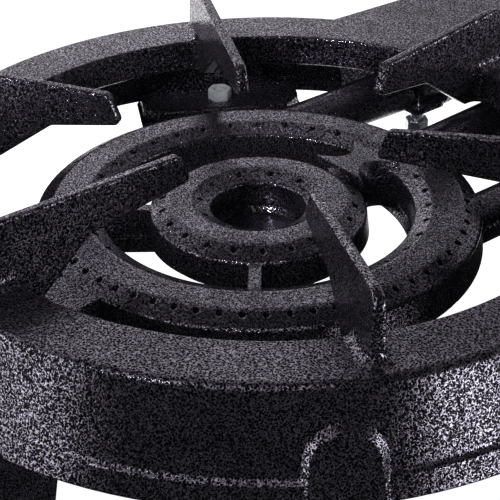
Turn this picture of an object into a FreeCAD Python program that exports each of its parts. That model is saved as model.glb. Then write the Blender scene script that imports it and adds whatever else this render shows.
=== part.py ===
"""Gas stockpot burner: cast support frame, two-ring burner, legs and gas taps.

Units are millimetres. Every shape is drawn with z = 0 on the ring's flat top and the ring's axis
at x = y = 0. The console points along -Y. save() moves the finished shapes so that the feet stand on z = 0
and the origin is under the middle of the overall box.
"""
import FreeCAD
import Part
import math
import os

V = FreeCAD.Vector
X_DIR, Y_DIR, Z_DIR = V(1, 0, 0), V(0, 1, 0), V(0, 0, 1)

# Overall heights
RING_HEIGHT = 150.0       # ring top above the floor
LIP_TOP = -42.5           # step on the skirt
LIP_BOTTOM = -55.0        # lower edge of the skirt
MOUNT_TOP = -47.0         # top of the leg pads

# Ring section
RING_OUT = 201.0          # sharp outer corner of the flat top
RING_IN = 167.0           # opening
SKIRT_SLOPE = 0.24        # skirt flare per mm of drop
LIP_STEP = 2.0
LIP_FALL = 1.6            # fall of the step's ledge
LIP_HOLLOW = 2.5          # concave round above the ledge
LIP_SLOPE = 0.28
WALL = 6.0
TOP_WALL = 7.0
INNER_WALL_DROP = 18.0
EDGE_ROUND = 4.0
OPENING_ROUND = 1.6       # upper edge of the opening

# Pot arms
ARM_COUNT = 6
ARM_TURN = 274.1          # azimuth of the first arm
ARM_TIP_LONG = 63.0
ARM_TIP_SHORT = 88.0
ARM_TIP_RAKE = 6.0        # lower tip corner reaches further in
ARM_RISE = 35.2           # top edge at the ring's outer edge
ARM_SLOPE = 0.055         # fall of the top edge per mm inwards
ARM_THICK = 5.2           # at the top edge
ARM_DRAFT = 0.04
ARM_FLARE = 6.0           # concave blend at the foot
ARM_END = 190.6
ARM_BELLY = (122.5, 6.8)  # radius and height where the underside turns down
ARM_FOOT = 157.5          # where the underside ends at the opening's wall
ARM_SOFT = 1.6            # rounding of the arm's edges

# Console
CONSOLE_END = 284.0
CONSOLE_HALF = 125.3      # half width where it leaves the ring
CONSOLE_ROOT = 154.0
CONSOLE_TAPER = 0.054
CONSOLE_DRAFT = 0.10
CONSOLE_ROUND = 24.0
PANEL_FACE = -CONSOLE_END - LIP_STEP     # seats of the tap nuts
PANEL_PAD_R = 15.0
SADDLE_Y = -199.0         # web with the collars that carry the mixing tubes
SADDLE_THICK = 7.0
SADDLE_DROP = 26.0
SADDLE_HALF = CONSOLE_HALF - 7.3

# Arch bosses
BOSS_TURNS = (148.8, 31.2)
BOSS_WIDTH = 37.0
BOSS_TOP = -18.0
BOSS_RAISE = 3.4
BOSS_FLANK = 3.0          # width of the sloped flank

# Legs
LEG_TURNS = {"leg_back": 90.0, "leg_right": 210.0, "leg_left": 330.0}
LEG_BOLT_R = (RING_IN + RING_OUT) / 2 - 2.0
PAD_IN = LEG_BOLT_R - 15.5
PAD_HALF = 50.0
PAD_NOSE_HALF = 41.0
PAD_ROUND = 2.0
WEB_IN = LEG_BOLT_R + 12.0
WEB_HALF = 23.0
LEG_TOP_IN, LEG_TOP_OUT, LEG_TOP_HALF = LEG_BOLT_R - 13.0, LEG_BOLT_R + 24.0, 52.0
LEG_FOOT_IN, LEG_FOOT_OUT, LEG_FOOT_HALF = LEG_BOLT_R - 10.0, LEG_BOLT_R + 22.0, 33.0
LEG_FLANGE = 8.0
LUG_THICK = 8.0           # burner lug on the back pad

# Burner: it sits a little off the ring's axis
BURNER_X, BURNER_Y = 4.6, 4.0
PORT_R = 1.7
OUTER_ROW = (111.7, 62, 2.9, 360 / 62)      # radius, ports, first azimuth, pitch
OUTER_INNER_ROW = (91.0, 32, 289.8, 10.23)  # leaves the bridge blank
INNER_ROW = (51.9, 22, 11.9, 360 / 22)
INNER_INNER_ROW = (31.5, 11, 12.9, 360 / 11)
CROWN = -22.2             # flat tops of both rings
PORT_BAND = 10.0          # width of the sloped band beside the flat
RIM_DROP = 4.4            # fall from the flat to the ring's edge
TUBE_Z = -37.0
TUBE_PITCH = 74.0
TUBE_R = 13.4
TUBE_MOUTH_R = 15.0
TUBE_BORE = 10.3
TUBE_END = -216.0
MOUTH_WALL = 3.0
WINDOW_IN, WINDOW_OUT, WINDOW_ANGLE = 6.0, 9.8, 80.0
EAR_TOP, EAR_BOTTOM = TUBE_Z - 9.0, TUBE_Z - 12.2     # ears of the hanging studs
EAR_ROUND = 5.4
STUD_OFFSET, STUD_Y = 14.0, -176.0
STUD_END = TUBE_Z - 25.0

# Fasteners
M8_R = 4.0
M8_HOLE_R = 4.5
M8_FLATS = 13.0
M8_HEAD = 5.3
M8_NUT = 6.5
WASHER_R = 8.0
WASHER_THICK = 1.6
THREAD_GAP = 0.3
BOLT_SHORT = 2.4          # bolt ends this far inside its nut

# Gas train
RUN_FIT = 0.05
TAP_R = 11.0
TAP_BACK = -232.0
TAP_SHOULDER = -278.0
NECK_R = 8.0
NECK_END = -291.0
PLUG_R = 6.5
PLUG_BACK, PLUG_FRONT = -240.0, -262.0
SPINDLE_R = 3.5
SPINDLE_FLAT = 2.2        # flat of the D-shaped end, from the axis
SPINDLE_END = -310.0
KNOB_R = 20.0
KNOB_BACK, KNOB_FRONT = -292.0, -314.0
RAIL_Y = -250.0
RAIL_R = 8.0
RAIL_BORE = 5.5
RAIL_DROP = 20.0          # rail axis below the taps
RAIL_RIGHT, RAIL_LEFT = 25.3 - CONSOLE_HALF, CONSOLE_HALF - 15.3
INLET_R = 11.0
GAS_BORE = 2.5
NOZZLE_R = 4.6
NOZZLE_LONG = 50.0

LIP_R = RING_OUT - SKIRT_SLOPE * LIP_TOP
LIP_FOOT = LIP_R + LIP_STEP + LIP_SLOPE * (LIP_TOP - LIP_BOTTOM)
MIDDLE_SHIFT = -(KNOB_FRONT + LIP_FOOT) / 2

TUBE_XS = {
    "right": BURNER_X - TUBE_PITCH,
    "centre": BURNER_X,
    "left": BURNER_X + TUBE_PITCH,
}


def polygon_face(points):
    """Flat face through the points, closed back to the first."""
    return Part.Face(Part.makePolygon(points + [points[0]]))


def rounded_face(outline):
    """Flat face in the X-Z plane; outline entries are (x, z) or (x, z, corner radius)."""
    points = [V(entry[0], 0, entry[1]) for entry in outline]
    radii = [entry[2] if len(entry) > 2 else 0.0 for entry in outline]
    edges = []
    starts, ends = [], []
    for k, corner in enumerate(points):
        back = (points[k - 1] - corner).normalize()
        ahead = (points[(k + 1) % len(points)] - corner).normalize()
        half = back.getAngle(ahead) / 2
        reach = radii[k] / math.tan(half)
        starts.append(corner + back * reach)
        ends.append(corner + ahead * reach)
        if radii[k]:
            middle = (back + ahead).normalize() * (radii[k] / math.sin(half) - radii[k])
            edges.append(Part.Arc(starts[k], corner + middle, ends[k]).toShape())
        following = points[(k + 1) % len(points)]
        after = radii[(k + 1) % len(points)]
        turn = (corner - following).getAngle(points[(k + 2) % len(points)] - following) / 2
        next_start = following + (corner - following).normalize() * (after / math.tan(turn))
        if (next_start - ends[k]).Length > 1e-6:
            edges.append(Part.makeLine(ends[k], next_start))
    return Part.Face(Part.Wire(Part.__sortEdges__(edges)))


def revolve_section(section, centre=(0.0, 0.0)):
    """Full turn of an (r, z) outline about the vertical through centre; corners may have a radius."""
    face = rounded_face(section)
    solid = face.revolve(V(0, 0, 0), Z_DIR, 360)
    solid.translate(V(centre[0], centre[1], 0))
    return solid


def rod(radius, start, end):
    """Round bar between two points."""
    axis = end - start
    return Part.makeCylinder(radius, axis.Length, start, axis)


def along_y(radius, y_start, y_end, x, z=TUBE_Z):
    """Round bar parallel to Y."""
    return rod(radius, V(x, y_start, z), V(x, y_end, z))


def block(x0, x1, y0, y1, z0, z1):
    """Box between opposite corners."""
    return Part.makeBox(x1 - x0, y1 - y0, z1 - z0, V(x0, y0, z0))


def turned(shape, azimuth):
    """Copy turned about the ring's axis, from +X to the azimuth."""
    copy = shape.copy()
    copy.rotate(V(0, 0, 0), Z_DIR, azimuth)
    return copy


def hexagon(flats, start, axis, height, turn=0.0):
    """Hexagonal prism that starts at a point and grows along axis."""
    radius = flats / math.sqrt(3)
    corners = [V(radius * math.cos(math.radians(60 * k + turn)),
                 radius * math.sin(math.radians(60 * k + turn)), 0) for k in range(6)]
    prism = polygon_face(corners).extrude(V(0, 0, height))
    prism.Placement = FreeCAD.Placement(start, FreeCAD.Rotation(Z_DIR, axis))
    return prism


def fuse_all(shapes):
    """One solid from shapes that overlap."""
    return shapes[0].multiFuse(shapes[1:]).removeSplitter()


def group(shapes):
    """Separate solids kept together in one node."""
    return Part.makeCompound(shapes)


def skirt_radius(z):
    """Outer radius of the skirt at a height."""
    return RING_OUT - SKIRT_SLOPE * z


def console_outline(inset, z):
    """Console outline at a height, drawn in by inset."""
    def half(y):
        return CONSOLE_HALF - CONSOLE_TAPER * (-y - CONSOLE_ROOT) - CONSOLE_DRAFT * z - inset
    back, front = -110.0, -CONSOLE_END + inset
    corners = [V(half(back), back, z), V(-half(back), back, z),
               V(-half(front), front, z), V(half(front), front, z)]
    return Part.makePolygon(corners + [corners[0]])


def console_block(inset, z_top, z_bottom):
    """Tapered console body with rounded front corners."""
    solid = Part.makeLoft([console_outline(inset, z_bottom), console_outline(inset, z_top)], True, True)
    front = -CONSOLE_END + inset + 0.01
    corners = [e for e in solid.Edges
               if all(v.Point.y < front for v in e.Vertexes)
               and abs(e.Vertexes[0].Point.z - e.Vertexes[1].Point.z) > 1]
    return solid.makeFillet(CONSOLE_ROUND - inset, corners)


def ring_cavity():
    """Space under the ring's top, out to the inside of the skirt."""
    return revolve_section([(0, -TOP_WALL), (skirt_radius(-TOP_WALL) - WALL, -TOP_WALL),
                            (skirt_radius(LIP_BOTTOM) - WALL, LIP_BOTTOM), (0, LIP_BOTTOM)])


def outer_body():
    """Outside of the frame before it is hollowed, with its rounded top edge."""
    ring = revolve_section([(0, 0), (RING_OUT, 0), (LIP_R, LIP_TOP, LIP_HOLLOW),
                            (LIP_R + LIP_STEP, LIP_TOP - LIP_FALL, 1.0),
                            (LIP_FOOT, LIP_BOTTOM), (0, LIP_BOTTOM)])
    body = fuse_all([ring, console_block(0, 0, LIP_BOTTOM)])
    rim = [e for e in body.Edges
           if all(abs(v.Point.z) < 1e-6 for v in e.Vertexes) and abs(e.CenterOfMass.z) < 1e-6]
    body = body.makeFillet(EDGE_ROUND, rim)
    pads = [along_y(PANEL_PAD_R, -CONSOLE_END + 1, PANEL_FACE, x) for x in TUBE_XS.values()]
    return fuse_all([body, console_block(-LIP_STEP, LIP_TOP - LIP_FALL, LIP_BOTTOM)] + pads)


def arm_top(r):
    """Height of an arm's top edge at a radius."""
    return ARM_RISE - ARM_SLOPE * (RING_OUT - r)


def soft_flanks(arm, radius):
    """Round the edges between an arm's flanks and its tip, top and underside."""
    flanks = [f for f in arm.Faces if abs(f.normalAt(0, 0).y) > 0.9]
    rim = [e for f in flanks for e in f.OuterWire.Edges
           if e.CenterOfMass.x < RING_IN - 6 or e.CenterOfMass.z > 3]
    return arm.makeFillet(radius, rim)


def pot_arm(tip):
    """One drafted arm along +X with concave blends into the ring's top and inner wall."""
    outline = [(tip, arm_top(tip), 4.0), (ARM_END, arm_top(ARM_END), 9.0), (ARM_END, -5, 0),
               (RING_IN + 2, -INNER_WALL_DROP, 0), (ARM_FOOT, -INNER_WALL_DROP, 1.5),
               (ARM_BELLY[0], ARM_BELLY[1], 6.0), (tip - ARM_TIP_RAKE, 11.8, 3.0)]
    half_top = ARM_THICK / 2
    half_foot = half_top + ARM_DRAFT * (ARM_RISE + INNER_WALL_DROP)
    wedge_section = [V(40, -half_top, ARM_RISE), V(40, half_top, ARM_RISE),
                     V(40, half_foot, -INNER_WALL_DROP), V(40, -half_foot, -INNER_WALL_DROP)]
    wedge = polygon_face(wedge_section).extrude(V(ARM_END - 40, 0, 0))
    plate = rounded_face(outline).extrude(V(0, 24, 0))
    plate.translate(V(0, -12, 0))
    arm = soft_flanks(plate.common(wedge), ARM_SOFT)
    half = half_top + ARM_DRAFT * ARM_RISE - 0.2
    reach = half + ARM_FLARE
    over = V(RING_IN + 0.5, 0, -1)
    run = X_DIR * (ARM_END - half - RING_IN - 0.5)
    long_blend = blend_bar(over, Y_DIR, Z_DIR, run, reach, half, ARM_FLARE)
    end_blend = blend_cone(V(ARM_END - half, 0, -1), reach, half, ARM_FLARE)
    wall = V(RING_IN + 1, 0, -INNER_WALL_DROP)
    up_blend = blend_bar(wall, Y_DIR, -X_DIR, Z_DIR * (INNER_WALL_DROP - 0.5), reach, half, ARM_FLARE)
    return [arm, long_blend, up_blend, end_blend]


def blend_cone(origin, reach, half, radius):
    """Round foot with the flank of blend_bar, for the end of a plate."""
    bend = radius * (1 - math.sqrt(0.5))
    arc = Part.Arc(V(reach, 0, 1), V(half + bend, 0, 1 + bend), V(half, 0, 1 + radius)).toShape()
    edges = [Part.makeLine(V(0, 0, 0), V(reach, 0, 0)), Part.makeLine(V(reach, 0, 0), V(reach, 0, 1)), arc,
             Part.makeLine(V(half, 0, 1 + radius), V(0, 0, 1 + radius)),
             Part.makeLine(V(0, 0, 1 + radius), V(0, 0, 0))]
    foot = Part.Face(Part.Wire(edges)).revolve(V(0, 0, 0), Z_DIR, 360)
    foot.translate(origin)
    return foot


def blend_bar(origin, side, out, sweep, reach, half, radius):
    """Bar with a concave flank on each side, such as a cast blend at the foot of a plate.

    side is the direction of its width, out the direction in which it narrows, sweep its length.
    """
    def at(width, height):
        return origin + side * width + out * height
    bend = radius * (1 - math.sqrt(0.5))
    right_arc = Part.Arc(at(reach, 1), at(half + bend, 1 + bend), at(half, 1 + radius)).toShape()
    left_arc = Part.Arc(at(-half, 1 + radius), at(-half - bend, 1 + bend), at(-reach, 1)).toShape()
    edges = [Part.makeLine(at(-reach, 0), at(reach, 0)),
             Part.makeLine(at(reach, 0), at(reach, 1)), right_arc,
             Part.makeLine(at(half, 1 + radius), at(-half, 1 + radius)), left_arc,
             Part.makeLine(at(-reach, 1), at(-reach, 0))]
    return Part.Face(Part.Wire(edges)).extrude(sweep)


def arch_boss():
    """Raised half-round pad on the skirt at +X."""
    half = BOSS_WIDTH / 2
    spring = BOSS_TOP - half

    def arch(out, grow):
        h = half + grow
        spread = 2.5

        def at(y, z):
            return V(skirt_radius(z) + out, y, z)
        arc = Part.Arc(at(h, spring), at(0, spring + h), at(-h, spring)).toShape()
        low = LIP_BOTTOM - 4.0
        return Part.Wire([arc, Part.makeLine(at(-h, spring), at(-h - spread, low)),
                          Part.makeLine(at(-h - spread, low), at(h + spread, low)),
                          Part.makeLine(at(h + spread, low), at(h, spring))])
    slope = BOSS_FLANK / BOSS_RAISE
    sunk, proud = -4.0, BOSS_RAISE + 2.0
    pad = Part.makeLoft([arch(sunk, -slope * sunk), arch(proud, -slope * proud)], True, True)
    face_r = skirt_radius(0) + BOSS_RAISE
    foot_r = face_r - SKIRT_SLOPE * LIP_BOTTOM
    limit = revolve_section([(0, 0), (face_r, 0), (foot_r, LIP_BOTTOM), (0, LIP_BOTTOM)])
    return pad.common(limit)


def leg_pad():
    """Bolting pad and its web inside the channel at +X."""
    pad = polygon_face([V(PAD_IN, -PAD_NOSE_HALF, LIP_BOTTOM), V(PAD_IN + 12, -PAD_HALF, LIP_BOTTOM),
                        V(215, -PAD_HALF, LIP_BOTTOM), V(215, PAD_HALF, LIP_BOTTOM),
                        V(PAD_IN + 12, PAD_HALF, LIP_BOTTOM),
                        V(PAD_IN, PAD_NOSE_HALF, LIP_BOTTOM)]).extrude(V(0, 0, MOUNT_TOP - LIP_BOTTOM))
    nose = [e for e in pad.Edges
            if all(v.Point.z > MOUNT_TOP - 0.1 and v.Point.x < PAD_IN + 13 for v in e.Vertexes)]
    pad = pad.makeFillet(PAD_ROUND, nose)
    flare = PAD_HALF - WEB_HALF
    web = blend_bar(V(WEB_IN, 0, MOUNT_TOP - 1), Y_DIR, Z_DIR, V(25, 0, 0), PAD_HALF, WEB_HALF, flare)
    stem = block(WEB_IN, 220, -WEB_HALF, WEB_HALF, MOUNT_TOP, -TOP_WALL + 1)
    hole = rod(M8_HOLE_R, V(LEG_BOLT_R, 0, LIP_BOTTOM - 1), V(LEG_BOLT_R, 0, MOUNT_TOP + 1))
    inside = revolve_section([(0, -1), (skirt_radius(0) - WALL / 2, -1),
                              (skirt_radius(LIP_BOTTOM) - WALL / 2, LIP_BOTTOM), (0, LIP_BOTTOM)])
    return fuse_all([pad, web, stem]).common(inside).cut(hole)


def tube_saddle():
    """Web under the console with a collar round each mixing tube."""
    y_front = SADDLE_Y - SADDLE_THICK
    parts = [block(-SADDLE_HALF, SADDLE_HALF, y_front, SADDLE_Y, -SADDLE_DROP, -1)]
    parts += [along_y(TUBE_MOUTH_R + 5, SADDLE_Y, y_front, x) for x in TUBE_XS.values()]
    holes = [along_y(TUBE_MOUTH_R + 0.4, SADDLE_Y + 1, y_front - 1, x) for x in TUBE_XS.values()]
    return fuse_all(parts).cut(group(holes))


def support_frame():
    """The frame casting."""
    hollow = fuse_all([ring_cavity(), console_block(WALL, -TOP_WALL, LIP_BOTTOM)])
    soft = OPENING_ROUND
    bend = [(RING_IN + soft * (1 - math.cos(a)), soft * (math.sin(a) - 1))
            for a in (math.pi / 8, math.pi / 4, 3 * math.pi / 8)]
    opening = revolve_section([(0, LIP_BOTTOM - 1), (RING_IN, LIP_BOTTOM - 1), (RING_IN, -soft)]
                              + bend + [(RING_IN + soft, 0), (RING_IN + soft, 1), (0, 1)])
    shell = outer_body().cut(hollow).cut(opening)
    wall_drop = -INNER_WALL_DROP
    inner_wall = revolve_section([(RING_IN, -1), (RING_IN + WALL, -1), (RING_IN + WALL, -TOP_WALL),
                                  (RING_IN + 4, wall_drop + 1), (RING_IN + 3, wall_drop),
                                  (RING_IN, wall_drop), (RING_IN - 1, wall_drop + 1)])
    parts = [shell, inner_wall, tube_saddle()]
    for k in range(ARM_COUNT):
        tip = ARM_TIP_LONG if k % 2 else ARM_TIP_SHORT
        parts += [turned(piece, ARM_TURN + k * 360 / ARM_COUNT) for piece in pot_arm(tip)]
    parts += [turned(arch_boss(), turn) for turn in BOSS_TURNS]
    parts += [turned(leg_pad(), turn) for turn in LEG_TURNS.values()]
    panel_back = -CONSOLE_END + WALL + 2
    panel_holes = [along_y(NECK_R + 0.5, PANEL_FACE - 2, panel_back, x) for x in TUBE_XS.values()]
    rail_z = TUBE_Z - RAIL_DROP
    inlet = [rod(INLET_R, V(-CONSOLE_HALF - 15, RAIL_Y, rail_z), V(RAIL_RIGHT, RAIL_Y, rail_z))]
    return fuse_all(parts).cut(group(panel_holes + inlet))


def ring_outline(r_in, r_out, bottom, floor_in):
    """Section of a burner ring: flat crown, sloped port bands, upright walls, rounded floor."""
    rim = CROWN - RIM_DROP
    return [(r_in, rim, 1.8), (r_in + PORT_BAND, CROWN, 5),
            (r_out - PORT_BAND, CROWN, 5), (r_out, rim - 1.2, 2.5),
            (r_out + 1.6, bottom + 6, 3), (r_out - 5, bottom, 4),
            (floor_in, bottom, 1.5), (r_in + 0.6, bottom + 8, 4)]


def channel_outline(r_in, r_out, floor):
    """Gas channel of a burner ring."""
    skin = 4.4
    top = CROWN - skin
    return [(r_in + skin, top - 3), (r_in + skin + 4, top),
            (r_out - skin - 7, top), (r_out - skin, top - 4),
            (r_out - skin, floor + 4), (r_out - skin - 4, floor),
            (r_in + skin + 4, floor), (r_in + skin, floor + 4)]


def port_row(row, floor):
    """Drill tools of one row of ports, from floor to above the crown."""
    radius, count, first, pitch = row
    tools = []
    for k in range(count):
        turn = math.radians(first + k * pitch)
        x = BURNER_X + radius * math.cos(turn)
        y = BURNER_Y + radius * math.sin(turn)
        tools.append(rod(PORT_R, V(x, y, floor), V(x, y, CROWN + 4)))
    return tools


def mixing_tube(x, y_start):
    """Outside of one tube, from inside its ring to the mouth."""
    y_flare, y_neck = -122.0, SADDLE_Y + 22
    flare = Part.makeCone(TUBE_R, TUBE_MOUTH_R, y_flare - y_neck, V(x, y_flare, TUBE_Z), -Y_DIR)
    straight = along_y(TUBE_R, y_start, y_flare, x)
    return fuse_all([straight, flare, along_y(TUBE_MOUTH_R, y_neck, TUBE_END, x)])


def air_windows(x, y_start, y_end):
    """Two sector-shaped windows, opposite each other, round a tube's axis."""
    ring = along_y(WINDOW_OUT, y_start, y_end, x).cut(along_y(WINDOW_IN, y_start, y_end, x))
    reach = 4 * WINDOW_OUT
    spread = math.radians(WINDOW_ANGLE / 2)
    wedges = []
    for side in (1, -1):
        tip = V(x, y_start, TUBE_Z)
        up = V(x + reach * math.sin(spread), y_start, TUBE_Z + side * reach * math.cos(spread))
        down = V(x - reach * math.sin(spread), y_start, TUBE_Z + side * reach * math.cos(spread))
        wedges.append(polygon_face([tip, up, down]).extrude(V(0, y_end - y_start, 0)))
    return ring.common(group(wedges))


def bridge_blend():
    """Smooth neck of the bridge between the two rings, kept below the crowns."""
    inner_y, outer_y = BURNER_Y - 57.5, BURNER_Y - 86.0
    mid_y = (inner_y + outer_y) / 2
    neck_x = BURNER_X + TUBE_R + 2.6
    end_x = neck_x + 7.5
    arc = Part.Arc(V(end_x, inner_y, 0), V(neck_x, mid_y, 0), V(end_x, outer_y, 0)).toShape()
    side = [Part.makeLine(V(end_x, outer_y, 0), V(BURNER_X, outer_y, 0)),
            Part.makeLine(V(BURNER_X, outer_y, 0), V(BURNER_X, inner_y, 0)),
            Part.makeLine(V(BURNER_X, inner_y, 0), V(end_x, inner_y, 0))]
    solid = Part.Face(Part.Wire([arc] + side)).revolve(V(BURNER_X, 0, 0), Y_DIR, 360)
    solid.translate(V(0, 0, TUBE_Z))
    return solid.common(block(-60, 60, -120, -20, -50.5, CROWN - 0.2))


def spoke(r0, r1, width, z0, z1, azimuth):
    """Straight bar between the rings."""
    bar = block(r0, r1, -width / 2, width / 2, z0, z1)
    bar = turned(bar, azimuth)
    bar.translate(V(BURNER_X, BURNER_Y, 0))
    return bar


def back_lug():
    """Lug that carries the burner on the back leg's pad, with an open slot for its bolt."""
    half = 15.0
    root, seat, end = 112.0, LEG_BOLT_R - 15, LEG_BOLT_R + 11
    top = MOUNT_TOP + LUG_THICK
    profile = [(root, -27), (seat - 27, -30), (seat - 7, -33), (seat, top), (end, top), (end, MOUNT_TOP),
               (root, MOUNT_TOP)]
    lug = polygon_face([V(-half, y, z) for y, z in profile]).extrude(V(2 * half, 0, 0))
    slot = block(-M8_HOLE_R, M8_HOLE_R, LEG_BOLT_R, end + 5, -60, -30)
    eye = rod(M8_HOLE_R, V(0, LEG_BOLT_R, -60), V(0, LEG_BOLT_R, -30))
    return lug.cut(slot).cut(eye)


def stud_places():
    """Places of the hanging studs, on the inner side of the two outer tubes."""
    return [V(TUBE_XS["left"] - STUD_OFFSET, STUD_Y, 0), V(TUBE_XS["right"] + STUD_OFFSET, STUD_Y, 0)]


def stud_lugs():
    """Thin ears low on the outer tubes that hold the studs; their free corners are round."""
    ears = []
    for place, tube in zip(stud_places(), ("left", "right")):
        edge = place.x + math.copysign(EAR_ROUND, place.x - TUBE_XS[tube])
        x0, x1 = sorted((edge, TUBE_XS[tube]))
        ear = block(x0, x1, STUD_Y - 21, STUD_Y + EAR_ROUND, EAR_BOTTOM, EAR_TOP)
        corners = [e for e in ear.Edges if all(abs(v.Point.x - edge) < 1e-6 for v in e.Vertexes)
                   and abs(e.Vertexes[0].Point.z - e.Vertexes[1].Point.z) > 1]
        ears.append(ear.makeFillet(EAR_ROUND - 0.4, corners))
    return ears


def burner():
    """The burner casting with its gas channels, ports and tubes."""
    centre = (BURNER_X, BURNER_Y)
    outer = revolve_section(ring_outline(83.4, 119.4, -52.0, 81.0), centre)
    inner = revolve_section(ring_outline(25.2, 58.4, -48.0, 22.0), centre)
    cup_floor = Part.makeCylinder(27, 4, V(BURNER_X, BURNER_Y, -48))
    centre_tube = mixing_tube(BURNER_X, BURNER_Y - 48)
    side_start = BURNER_Y - math.sqrt(108.0 ** 2 - TUBE_PITCH ** 2)
    side_tubes = [mixing_tube(TUBE_XS[side], side_start) for side in ("left", "right")]
    ribs = [spoke(55, 86, 6.6, -44, -28.6, 138.8),
            spoke(56, 85, 12, -51.5, -42.8, 51),
            spoke(55, 86, 6, -44, -27, 51)]
    body = fuse_all([outer, inner, cup_floor, centre_tube, bridge_blend(), back_lug()] + side_tubes + ribs
                    + stud_lugs())
    outer_floor, inner_floor = -46.5, -43.0
    outer_channel = revolve_section(channel_outline(83.4, 119.4, outer_floor), centre).cut(centre_tube)
    inner_channel = revolve_section(channel_outline(25.2, 58.4, inner_floor), centre)
    mouth_in = TUBE_END + MOUTH_WALL
    bores = [along_y(TUBE_BORE, BURNER_Y - 46, mouth_in, BURNER_X)]
    bores += [along_y(TUBE_BORE, side_start - 2, mouth_in, TUBE_XS[side]) for side in ("left", "right")]
    jets = [along_y(5.0, mouth_in + 1, TUBE_END - 1, x) for x in TUBE_XS.values()]
    windows = [air_windows(x, mouth_in + 1, TUBE_END - 1) for x in TUBE_XS.values()]
    drills = port_row(OUTER_ROW, CROWN - 12)
    for row in (OUTER_INNER_ROW, INNER_ROW, INNER_INNER_ROW):
        drills += port_row(row, CROWN - 10)
    stud_holes = [rod(M8_R + THREAD_GAP, V(p.x, p.y, -60), V(p.x, p.y, -20)) for p in stud_places()]
    for tools in ([outer_channel, inner_channel], bores, jets, windows, drills, stud_holes):
        body = body.cut(tools)
    return body


def leg():
    """One leg at +X: a tapered trough with a top flange and a flat foot."""
    top, foot = LIP_BOTTOM, -RING_HEIGHT

    def outline(inset, z, open_in):
        share = (top - z) / (top - foot)
        r_in = LEG_TOP_IN + share * (LEG_FOOT_IN - LEG_TOP_IN) - (10 if open_in else 0)
        r_out = LEG_TOP_OUT + share * (LEG_FOOT_OUT - LEG_TOP_OUT) - inset
        half = LEG_TOP_HALF + share * (LEG_FOOT_HALF - LEG_TOP_HALF) - inset
        corners = [V(r_in, -half, z), V(r_out, -half, z), V(r_out, half, z), V(r_in, half, z)]
        return Part.makePolygon(corners + [corners[0]])
    body = Part.makeLoft([outline(0, top, False), outline(0, foot, False)], True, True)
    outer_edges = [e for e in body.Edges if all(v.Point.x > 195 for v in e.Vertexes)
                   and abs(e.Vertexes[0].Point.z - e.Vertexes[1].Point.z) > 10]
    body = body.makeFillet(9.0, outer_edges)
    trough_top, trough_foot = top - LEG_FLANGE, foot + LEG_FLANGE
    trough = Part.makeLoft([outline(WALL, trough_top, True), outline(WALL, trough_foot, True)], True, True)
    hole = rod(M8_HOLE_R, V(LEG_BOLT_R, 0, top - LEG_FLANGE - 1), V(LEG_BOLT_R, 0, top + 1))
    return body.cut(trough).cut(hole)


def leg_bolt(top_z):
    """Hex bolt at +X, put in from below, that ends at top_z."""
    under = LIP_BOTTOM - LEG_FLANGE - WASHER_THICK
    shank = rod(M8_R, V(LEG_BOLT_R, 0, under), V(LEG_BOLT_R, 0, top_z))
    head = hexagon(M8_FLATS, V(LEG_BOLT_R, 0, under - M8_HEAD), Z_DIR, M8_HEAD)
    return shank.fuse(head).removeSplitter()


def nut(x, y, z):
    """M8 nut standing on z, with chamfered corners."""
    body = hexagon(M8_FLATS, V(x, y, z), Z_DIR, M8_NUT, 30)
    crown = Part.makeCone(M8_FLATS / 2 + 3.6, M8_FLATS / 2, 3.6, V(x, y, z + M8_NUT - 3.0), Z_DIR)
    base = rod(M8_FLATS, V(x, y, z), V(x, y, z + M8_NUT - 3.0))
    bore = rod(M8_R + THREAD_GAP, V(x, y, z - 1), V(x, y, z + M8_NUT + 1))
    return body.common(crown.fuse(base)).cut(bore)


def washer():
    """Flat washer under a leg's flange, at +X."""
    z = LIP_BOTTOM - LEG_FLANGE - WASHER_THICK
    ring = rod(WASHER_R, V(LEG_BOLT_R, 0, z), V(LEG_BOLT_R, 0, z + WASHER_THICK))
    return ring.cut(rod(M8_HOLE_R, V(LEG_BOLT_R, 0, z - 1), V(LEG_BOLT_R, 0, z + 3)))


def air_shutter(x):
    """Cap that turns on a tube's mouth, with windows that match the mouth's."""
    face_y = TUBE_END - RUN_FIT
    back_y = TUBE_END + 9
    cap_y = face_y - 2.0
    outer_r = TUBE_MOUTH_R + 2.0
    cup = along_y(outer_r, back_y, cap_y, x).cut(along_y(TUBE_MOUTH_R + RUN_FIT, back_y + 1, face_y, x))
    tab = block(x - 1.2, x + 1.2, cap_y - 8, cap_y + 2, TUBE_Z + TUBE_MOUTH_R - 3, TUBE_Z + outer_r - 0.2)
    eye = along_y(5.0, face_y + 1, cap_y - 1, x)
    return cup.cut(eye).cut(air_windows(x, face_y + 1, cap_y - 1)).fuse(tab).removeSplitter()


def injector(x):
    """Brass jet screwed on the back of a tap; its tip enters the shutter."""
    hexagonal = hexagon(12, V(x, TAP_BACK, TUBE_Z), Y_DIR, 7)
    stem = along_y(4.2, TAP_BACK + 6, TAP_BACK + 11, x)
    tip = Part.makeCone(3.8, 2.4, 6, V(x, TAP_BACK + 11, TUBE_Z), Y_DIR)
    return fuse_all([hexagonal, stem, tip]).cut(along_y(0.9, TAP_BACK - 1, TAP_BACK + 20, x))


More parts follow.
